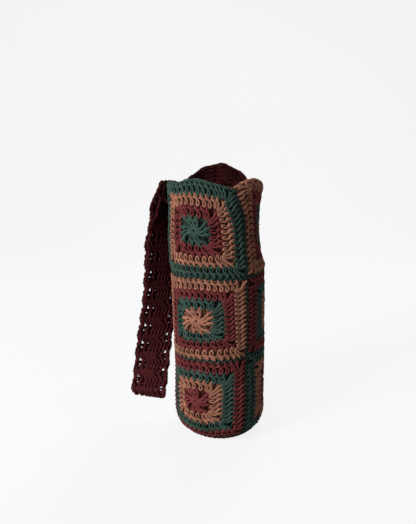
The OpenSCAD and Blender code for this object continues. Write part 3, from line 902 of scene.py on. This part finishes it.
class Band:
    """The strap's route: its two edges and its outward side along its length, in mm."""

    def __init__(self, shape, bag):
        self.shape, self.bag = shape, bag
        self.width, self.thick, self.row = (x / MM for x in (shape.width, shape.thickness, shape.row))
        fold = shape.fold_turn
        self.fold_dir = np.array((math.sin(fold), -math.cos(fold), 0))
        self.front_dir = np.array((math.cos(fold), math.sin(fold), 0))
        self.hinge_r = bag.radius + STRAP_GAP + self.thick / 2
        lines = np.array(self.lines())
        keys = lengths(lines.mean(1))
        if keys[-1] <= 0:
            raise RuntimeError("the strap has no length")
        places = np.linspace(0, keys[-1], PLACES_A_LINE * len(lines))
        edges = smooth_run(keys, lines, places)
        self.middle = edges.mean(1)
        self.across = edges[:, 1] - edges[:, 0]
        self.out = unit(np.cross(np.gradient(self.middle, axis=0), self.across))
        self.s = lengths(self.middle)
        key_s = np.interp(keys, places, self.s)
        self.s = self.s - key_s[self.fold]
        self.key_s = key_s - key_s[self.fold]

    def hang(self, share, offset, down=0.0):
        """Both edges of the loop at one of the hang shares, offset from the middle between its legs."""
        shape = self.shape
        start_r = self.hinge_r + self.thick / 2 + STRAP_GAP + (self.thick + STRAP_GAP / 2)
        start = self.fold_dir * start_r + (0, 0, self.bag.rim_h + STRAP_GAP)
        turn = shape.fold_turn + math.pi
        turn = turn + (shape.loop_turn - turn) * share[3]
        tip = shape.slope * share[1]
        wide = np.array((math.cos(turn) * math.cos(tip), math.sin(turn) * math.cos(tip), -math.sin(tip)))
        out = np.array((-math.sin(turn), math.cos(turn), 0))
        away = self.fold_dir * shape.stand_out / MM * share[1]
        middle = start + away + self.front_dir * shape.lean / MM * share[2]
        drop = shape.drop / MM - self.thick / 2
        middle = middle - (0, 0, drop * share[0] + down) + out * offset
        return middle - wide * self.width / 2, middle + wide * self.width / 2

    def on_wall(self, turn, share):
        """A point of the crossing, which follows the worn wall where it lies on it."""
        bag = self.bag
        z = bag.rim_h + self.width * share
        low = min(z, bag.rim_h)
        worn = bag.point(turn, low - bag.height(0), 0) - polar(turn, bag.radius, low)
        follow = smooth_step((bag.rim_h + FOLLOW_BELOW - z) / (2 * FOLLOW_BELOW))
        return polar(turn, self.hinge_r + CROSSING_LIFT, z) + worn * (1, 1, 0) * follow

    def lines(self):
        """Lines across the strap from its right end to its left end, each as its two edges."""
        rim = self.bag.rim_h
        lines = [(self.on_wall(*line[:2]), self.on_wall(*line[2:])) for line in CROSS_SHARES]
        for up_turn, up_r, up_h, low_turn, low_r, low_h in TURN_LINES:
            lines.append((polar(up_turn, up_r, rim + up_h), polar(low_turn, low_r, rim + low_h)))
        self.turned = len(lines)
        half = self.thick + STRAP_GAP / 2
        layer = half / 2 + LEG_EXTRA
        lines += [self.hang(share, layer) for share in HANG_SHARES[2:]]
        for angle in (45, 90, 135):
            a = math.radians(angle)
            lines.append(self.hang(HANG_SHARES[-1], layer * math.cos(a), layer * math.sin(a)))
        self.fold = len(lines) - 2
        lines += [self.hang(share, -layer) for share in HANG_SHARES[::-1][:-1]]
        self.rim = len(lines) - 1
        top = self.hang(HANG_SHARES[0], -layer)
        wall = self.hinge_r + self.thick / 2 + STRAP_GAP + half - layer
        reach = (wall - self.hinge_r) / 2
        shifts = []
        for angle in (0, 60, 120, 180):
            a = math.radians(angle)
            rise = (reach + FOLD_RISE) * math.sin(a) - FOLD_SINK
            shifts.append(self.fold_dir * (-reach + reach * math.cos(a)) + np.array((0, 0, rise)))
        shifts += [self.fold_dir * (self.hinge_r - wall) - np.array((0, 0, down)) for down in LEFT_END]
        return lines + [tuple(p + shift for p in top) for shift in shifts]

    def row_ends(self, number):
        """The foot and top of a row. Rows are counted from the lower fold up the front leg, and from
        -1 down to lower numbers up the rear leg."""
        k = number if number >= 0 else -number - 1
        ends = np.array((k * self.row - FOLD_ROW_SHORT if k else 0.0, (k + 1) * self.row - FOLD_ROW_SHORT))
        return ends if number >= 0 else -ends

    def row_at(self, s):
        """The number of the row that holds a place along the strap."""
        k = max(int((abs(s) + FOLD_ROW_SHORT) // self.row), 0)
        return k if s >= 0 else -k - 1

    def point(self, at, depth):
        """Places pattern points: mm across from the middle, and mm along from the lower fold."""
        c, s = at[..., 0] / self.width, at[..., 1]
        above = s * s / (np.abs(s) + CORNER_START)
        short = np.clip(1 - above / CORNER_RADIUS, 0, 1)
        c = c * (1 - 2 * CORNER_RADIUS * (1 - np.sqrt(1 - short * short)) / self.width)
        middle, across, out = (
            np.stack([np.interp(s, self.s, x[:, k]) for k in range(3)], -1)
            for x in (self.middle, self.across, self.out))
        return middle + across * c[..., None] - unit(out) * depth[..., None]


# How far each edge of a row is drawn in at its foot, middle and top, in mm: the edge where the row
# turns stays straight, and the other bows in
STRAIGHT, BOWED = (2.3, 1.5, 0.3), (0.1, 0.3, 2.2)
# Gaps between stitches beside an edge that is worked open, in pitches, and the rows from this one up
# that are worked close
OPEN_GAPS = (2.1, 1.75)
CLOSE_FROM = 20
# The strap's yarn as a share of the squares', and how loosely it is worked beside them
STRAP_GIRTH, STRAP_LOOSE = 0.95, 0.12
# Breadth of a stitch as a share of its part of the strap, and where its foot starts in the row
STITCH_BREADTH, ROW_FOOT = 0.94, 0.04
# Closed shares of a post: at the near and far edge of an open row, and in a close one
NEAR_CLOSED, FAR_CLOSED, CLOSE = 0.56, 0.74, (-0.3, 1.3)
# The yarn behind the posts: its tone, darkened as painted shade, and its breadth in an open-edged
# and in a close piece
STRAP_PAD, OPEN_PAD, CLOSE_PAD = 0.32, 0.58, 0.68
# Painted light: the strap is lighter near the lower fold: how much, and the number of rows that it
# fades over
FOLD_PAINTED_LIGHT, FOLD_LIGHT_ROWS = 0.36, 5
# The ridge along a row's top: mm that it stops short of the edges, its points, depth and radius, its
# tone, the share of the inner side's painted shade that it takes, and its half width
RIDGE_SHORT, RIDGE = 0.3, (20, 0.0, 0.75)
RIDGE_TONE, RIDGE_INNER, RIDGE_BREADTH = 0.4, 0.7, 1.0
# The lower fold's own edge, which runs up into both corners: share of the half width and mm up
HEM = ((-1, 3.6), (-0.98, 1.4), (-0.75, 0), (0, 0), (0.75, 0), (0.98, 1.4), (1, 3.6))
# How far that edge lies in from the strap's, its points, depth and radius, its tone and half width
HEM_INSET, HEM_STRAND, HEM_TONE, HEM_BREADTH = 1.0, (36, -0.8, 0.9), 0.42, 1.05
# The strands along an edge of a row: where their points lie in it, and their depths in mm
EDGE_POINTS, EDGE_DEPTHS = (-0.04, 0.22, 0.5, 0.78, 1.04), (-0.55, 0.55)
# How far in from the edge they lie, their points, their radius as a share of the yarn's thickness,
# their tone and how much painted shade darkens them inwards
EDGE_INSET, EDGE_SAMPLES, EDGE_GIRTH, EDGE_TONE, EDGE_UNDER = 0.5, 12, 0.48, 0.37, 0.1


class StrapRows:
    """Works rows of double crochet along the strap's route."""

    def __init__(self, band, finish, count):
        self.band, self.count = band, count
        self.thick, self.loose = finish.thickness / MM * STRAP_GIRTH, finish.looseness * STRAP_LOOSE

    def across(self, drawn, side, open_left, open_right):
        """Places of the stitches across a row, with wider gaps beside an open edge."""
        (left, right), half = drawn, self.band.width / 2
        gaps = np.ones(self.count + 1)
        gaps[0] = gaps[-1] = 0.5
        if open_left:
            gaps[1:3] = OPEN_GAPS
        if open_right:
            gaps[-3:-1] = OPEN_GAPS[::-1]
        first, last = left[side] - half, half - right[side]
        return first + (last - first) * np.cumsum(gaps)[:-1] / gaps.sum()

    def cord(self, yarn, points, samples, depth, *size_and_tone, **more):
        """Lays one smooth strand through pattern points."""
        flat = curves(np.array([points]), samples)
        yarn.lay(self.band.point(flat, np.full(flat.shape[:2], depth)), outward(self.band.point, flat, 0.0),
                 *size_and_tone, **more)

    def row(self, yarn, number, open_edges, shade, inner):
        """Works one row. inner is how much painted shade darkens its inner side."""
        band, count = self.band, self.count
        low, high = np.clip(band.row_ends(number), band.s[0], band.s[-1])
        if low == high:
            return
        # The row's tone: the piece's shade plus painted light on the rows near the lower fold
        worn = shade + FOLD_PAINTED_LIGHT * math.exp(-(abs(number + 0.5) / FOLD_LIGHT_ROWS) ** 2)
        front = (number if number >= 0 else -number - 1) % 2 == 0
        side = 1 if front else -1
        drawn = (STRAIGHT, BOWED) if front else (BOWED, STRAIGHT)
        open_right, open_left = not front and open_edges, front and open_edges
        pitch = band.width * STITCH_BREADTH / count
        lean = TOP_LEAN / 2 * pitch * side
        foot_x = self.across(drawn, 0, open_left, open_right) - lean
        top_x = self.across(drawn, 2, open_right, open_left) + lean
        foot = np.stack((foot_x, np.full(count, low + ROW_FOOT * (high - low))), -1)
        top = np.stack((top_x, np.full(count, high)), -1)
        across = np.stack((np.full(count, pitch * side), np.zeros(count)), -1)
        closed = np.tile((0.0, 1.0), (count, 1))
        near, far = (slice(0, 2), slice(-2, None)) if front else (slice(-2, None), slice(0, 2))
        closed[near, 0] = NEAR_CLOSED
        closed[far, 1] = FAR_CLOSED
        if not open_edges or number >= CLOSE_FROM:
            closed[:] = CLOSE
        work(yarn, Stitches(foot, top, across, across, closed), band.point, 0.0, self.thick, self.loose,
             float(side), worn, (STRAP_PAD, OPEN_PAD if open_edges else CLOSE_PAD), inner,
             slice(None, -1) if front else slice(1, None))
        half = band.width / 2
        left, right = drawn
        ridge = ((left[2] - half + RIDGE_SHORT, high), (0.0, high), (half - right[2] - RIDGE_SHORT, high))
        self.cord(yarn, ridge, *RIDGE, RIDGE_TONE + worn - inner * RIDGE_INNER, RIDGE_BREADTH)
        if number == 0:
            hem = [(x * (half - HEM_INSET), s) for x, s in HEM]
            self.cord(yarn, hem, *HEM_STRAND, HEM_TONE + worn, HEM_BREADTH)
        for edge, (foot, middle, top) in ((-1, left), (1, right)):
            ins = (foot, foot * 0.6 + middle * 0.4, middle, top * 0.6 + middle * 0.4, top)
            points = [(edge * (half - d - EDGE_INSET), low + (high - low) * t) for d, t in zip(ins, EDGE_POINTS)]
            for depth in EDGE_DEPTHS:
                self.cord(yarn, points, EDGE_SAMPLES, depth, self.thick * EDGE_GIRTH, EDGE_TONE + worn,
                          under=EDGE_UNDER)


# Tone of the strap, of its left end with painted shade for the loop's shadow, and how much painted
# shade darkens the crossing inside
STRAP_SHADE, END_SHADE, CROSSING_INNER = -0.02, -0.26, 0.3
# Where the crossing would begin and end to bend as the loop lifts, from the hinge, and how far the rim
# fold would bend to each side of it, in metres; the script works these out but bends nothing by them
CROSSING_BEND = ((0.012, 0.024, 0.004), (-0.008, -0.006, -0.012))
FOLD_BEND = 0.003


class CARRIER_OT_strap(bpy.types.Operator):
    """Works the strap in rows, from its right end, round the back, down the loop and up again"""
    bl_idname = "carrier.strap"
    bl_label = "Strap"

    def execute(self, context):
        shape = context.scene.carrier_strap
        band = Band(shape, Bag(context.scene.carrier_bag))
        strap = StrapRows(band, context.scene.carrier_yarn, shape.stitches)
        turn_row = band.row_at(band.key_s[band.turned] - 4)
        rim_row = band.row_at(band.key_s[band.rim])
        pieces = (
            ("strap_crossing", band.row_at(band.s[0]), turn_row), ("strap_rear_leg", turn_row, -1),
            ("strap_lower_fold", -1, 1), ("strap_front_leg", 1, rim_row),
            ("strap_rim_fold", rim_row, rim_row + 2),
            ("strap_left_end", rim_row + 2, band.row_at(band.s[-1]) + 1),
        )
        hinge = Vector(frame["joints"][0]["pos_m"])
        out = Vector((hinge.x, hinge.y, 0)).normalized() * FOLD_BEND
        bends = {
            "strap_crossing": [hinge + Vector(x) for x in CROSSING_BEND],
            "strap_rim_fold": [hinge - out, hinge + out],
        }
        for number, (name, first, last) in enumerate(pieces):
            yarn = Yarn(140 + number)
            # painted shade: the left end for the loop's shadow, and the crossing on its inner side
            shade = END_SHADE if name == "strap_left_end" else STRAP_SHADE
            crossing = name == "strap_crossing"
            for row in range(first, last):
                strap.row(yarn, row, not crossing, shade, CROSSING_INNER if crossing else 0.0)
            made = yarn.make(f"{name}_yarn", yarn_of(DARK))
            if name in bends:
                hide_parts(name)
                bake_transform(made)
            else:
                fit(made, "bag" if name == "strap_left_end" else "strap_loop", DARK, name)
        return {"FINISHED"}


# The whip stitches at each end of the strap: how many, shares of their reach along them, depths in
# mm, where the reach starts and how far it goes
SEWN, SEWN_STEPS, SEWN_DEPTHS = 9, (0.0, 0.25, 0.6, 0.9, 1.1), (-1.2, -2.6, -2.2, -0.6, 1.4)
SEWN_FROM, SEWN_REACH = 0.4, 1.3
# Their yarn's thickness as a share of the squares', its tone, and how far outside the wall's face
# the middle of the left end lies, in mm
SEWN_GIRTH, SEWN_TONE, SEWN_OUT = 0.7, 0.5, 2
# How far below the rim the left end is sewn, and the right end's row: turns and mm below the rim
LEFT_SEWN = 14
RIGHT_SEWN = ((119.5, 5.5), (139.5, 29))


class CARRIER_OT_strap_stitches(bpy.types.Operator):
    """Sews both ends of the strap to the wall"""
    bl_idname = "carrier.strap_stitches"
    bl_label = "Strap stitches"

    def execute(self, context):
        bag = Bag(context.scene.carrier_bag)
        shape = context.scene.carrier_strap
        thick = context.scene.carrier_yarn.thickness / MM * SEWN_GIRTH
        half = math.degrees(shape.width / 2 / MM / (bag.radius + SEWN_OUT))
        left = math.degrees(shape.fold_turn)
        rows = (
            ("strap_left_stitches", ((left - half, LEFT_SEWN), (left + half, LEFT_SEWN)), (0.0, -2.2)),
            ("strap_right_stitches", RIGHT_SEWN, (-2.6, -1.2)),
        )
        weights = curve_weights(len(SEWN_STEPS), SHORT_SAMPLES)
        for number, (name, ends, into) in enumerate(rows):
            yarn = Yarn(160 + number)
            a, b = (np.array((turn, bag.rim_v - down)) for turn, down in ends)
            t = (np.arange(SEWN) + 0.5)[:, None] / SEWN
            steps = np.array(SEWN_STEPS)[None, :, None] - SEWN_FROM
            flat = (a * (1 - t) + b * t)[:, None] + steps * np.array(into) * SEWN_REACH
            flat = curves(flat, SHORT_SAMPLES)
            lines = bag.point(flat[..., 0], flat[..., 1], weights @ np.array(SEWN_DEPTHS))
            yarn.lay(lines, lines[:, 2] * (1, 1, 0), thick / 2, SEWN_TONE)
            fit(yarn.make(f"{name}_yarn", yarn_of(DARK)), "bag", DARK, name)
        return {"FINISHED"}


# The lamps of the studio: place, aim and width, in metres
LAMPS = {
    "key": ((-0.92, -0.70, 0.58), (0, 0, 0.12), 0.4),
    "wash": ((0.0, 0.7, 2.2), (0, 1.0, 0.2), 1.6),
    "back": ((0.45, 0.85, 1.25), (0, 0, 0.12), 0.5),
}
# The paper runs back along the floor and curves up behind: front and back edge, radius of the curve,
# height, half width and how far it lies below the carrier, in metres
FLOOR_FRONT, FLOOR_BACK, CURVE, PAPER_HEIGHT, PAPER_HALF, PAPER_DROP = -1.6, 0.9, 0.5, 2.6, 3.0, 0.0004
# Angle at which the curve starts, in radians, and its points
CURVE_START, CURVE_POINTS = 0.15, 12
# How rough and how shiny the paper is, its grain's scale, and the darkest and lightest grey of it
PAPER_ROUGHNESS, PAPER_SHINE, GRAIN_SCALE = 0.9, 0.1, 90
PAPER_GREYS = (0.039, 0.043)
WHITE = (1, 1, 1, 1)
# The camera's turn to the right, downwards and round its own axis, in degrees, and its lens in mm
CAMERA_YAW, CAMERA_PITCH, CAMERA_ROLL = -1.51, 9.62, -0.67
CAMERA_LENS = 400 * 36 / 524


class CARRIER_OT_studio(bpy.types.Operator):
    """Sets up the pale floor, the soft light and the camera"""
    bl_idname = "carrier.studio"
    bl_label = "Studio"

    def paper(self, glow):
        """Lays the pale paper floor."""
        curve = [(FLOOR_BACK + CURVE * math.sin(a), CURVE - CURVE * math.cos(a))
                 for a in np.linspace(CURVE_START, math.pi / 2, CURVE_POINTS)]
        profile = [(FLOOR_FRONT, 0.0), (FLOOR_BACK, 0.0)] + curve + [(FLOOR_BACK + CURVE, PAPER_HEIGHT)]
        points = [(x, y, z - PAPER_DROP) for x in (-PAPER_HALF, PAPER_HALF) for y, z in profile]
        n = len(profile)
        mesh = bpy.data.meshes.new("floor")
        mesh.from_pydata(points, [], [(i, i + n, i + n + 1, i + 1) for i in range(n - 1)])
        mesh.polygons.foreach_set("use_smooth", np.ones(n - 1, bool))
        paper = bpy.data.materials.new("pale_paper")
        paper.use_nodes = True
        tree = paper.node_tree
        shader = tree.nodes["Principled BSDF"]
        set_inputs(shader, {"Roughness": PAPER_ROUGHNESS, "Specular IOR Level": PAPER_SHINE,
                            "Emission Color": WHITE, "Emission Strength": glow})
        grain = tree.nodes.new("ShaderNodeTexNoise")
        set_inputs(grain, {"Scale": GRAIN_SCALE})
        ramp = tree.nodes.new("ShaderNodeValToRGB")
        for stop, grey in zip(ramp.color_ramp.elements, PAPER_GREYS):
            stop.color = (grey, grey, grey, 1)
        tree.links.new(grain.outputs["Fac"], ramp.inputs["Fac"])
        tree.links.new(ramp.outputs["Color"], shader.inputs["Base Color"])
        mesh.materials.append(paper)
        return bpy.data.objects.new("floor", mesh)

    def execute(self, context):
        light = context.scene.carrier_studio
        floor = self.paper(light.glow)
        bpy.context.collection.objects.link(floor)
        world = bpy.data.worlds.new("studio")
        world.use_nodes = True
        set_inputs(world.node_tree.nodes["Background"], {"Color": WHITE, "Strength": light.fill})
        context.scene.world = world
        for name, (place, aim, size) in LAMPS.items():
            data = bpy.data.lights.new(name, "AREA")
            data.shape, data.size, data.energy = "DISK", size, getattr(light, name)
            lamp = bpy.data.objects.new(name, data)
            lamp.location = place
            lamp.rotation_euler = (Vector(aim) - Vector(place)).to_track_quat("-Z", "Y").to_euler()
            bpy.context.collection.objects.link(lamp)
        data = bpy.data.cameras.new("camera")
        data.lens = CAMERA_LENS
        data.clip_start = 0.01
        camera = bpy.data.objects.new("camera", data)
        camera.location = (0, -light.camera_distance, light.camera_height)
        yaw, pitch, roll = (math.radians(x) for x in (CAMERA_YAW, CAMERA_PITCH, CAMERA_ROLL))
        forward = Vector((math.sin(yaw) * math.cos(pitch), math.cos(yaw) * math.cos(pitch), -math.sin(pitch)))
        turn = forward.to_track_quat("-Z", "Y").to_matrix().to_4x4() @ Matrix.Rotation(roll, 4, "Z")
        camera.rotation_euler = turn.to_euler()
        bpy.context.collection.objects.link(camera)
        context.scene.camera = camera
        context.scene.view_settings.view_transform = "Standard"
        return {"FINISHED"}


class CARRIER_PT_panel(bpy.types.Panel):
    """Lists the carrier's sizes, yarns and pieces"""
    bl_idname = "CARRIER_PT_panel"
    bl_label = "Bottle carrier"
    bl_space_type = "VIEW_3D"
    bl_region_type = "UI"
    bl_category = "Carrier"

    def draw(self, context):
        for name in GROUPS:
            group = getattr(context.scene, name)
            box = self.layout.box()
            for field in group.bl_rna.properties:
                if not field.is_readonly and field.identifier != "name":
                    box.prop(group, field.identifier)
        for operator in OPERATORS:
            self.layout.operator(operator.bl_idname)


GROUPS = {
    "carrier_yarn": YarnFinish, "carrier_bag": BagShape, "carrier_strap": StrapShape,
    "carrier_studio": StudioLight,
}
OPERATORS = (
    CARRIER_OT_studio, CARRIER_OT_squares, CARRIER_OT_seams, CARRIER_OT_base, CARRIER_OT_strap,
    CARRIER_OT_strap_stitches,
)


def register():
    for group in GROUPS.values():
        bpy.utils.register_class(group)
    for name, group in GROUPS.items():
        setattr(bpy.types.Scene, name, bpy.props.PointerProperty(type=group))
    for operator in OPERATORS:
        bpy.utils.register_class(operator)
    bpy.utils.register_class(CARRIER_PT_panel)


def unregister():
    bpy.utils.unregister_class(CARRIER_PT_panel)
    for operator in reversed(OPERATORS):
        bpy.utils.unregister_class(operator)
    for name in GROUPS:
        delattr(bpy.types.Scene, name)
    for group in GROUPS.values():
        bpy.utils.unregister_class(group)


def main():
    register()
    bpy.ops.carrier.studio()
    bpy.ops.carrier.squares()
    bpy.ops.carrier.seams()
    bpy.ops.carrier.base()
    bpy.ops.carrier.strap()
    bpy.ops.carrier.strap_stitches()


if __name__ == "__main__":
    main()
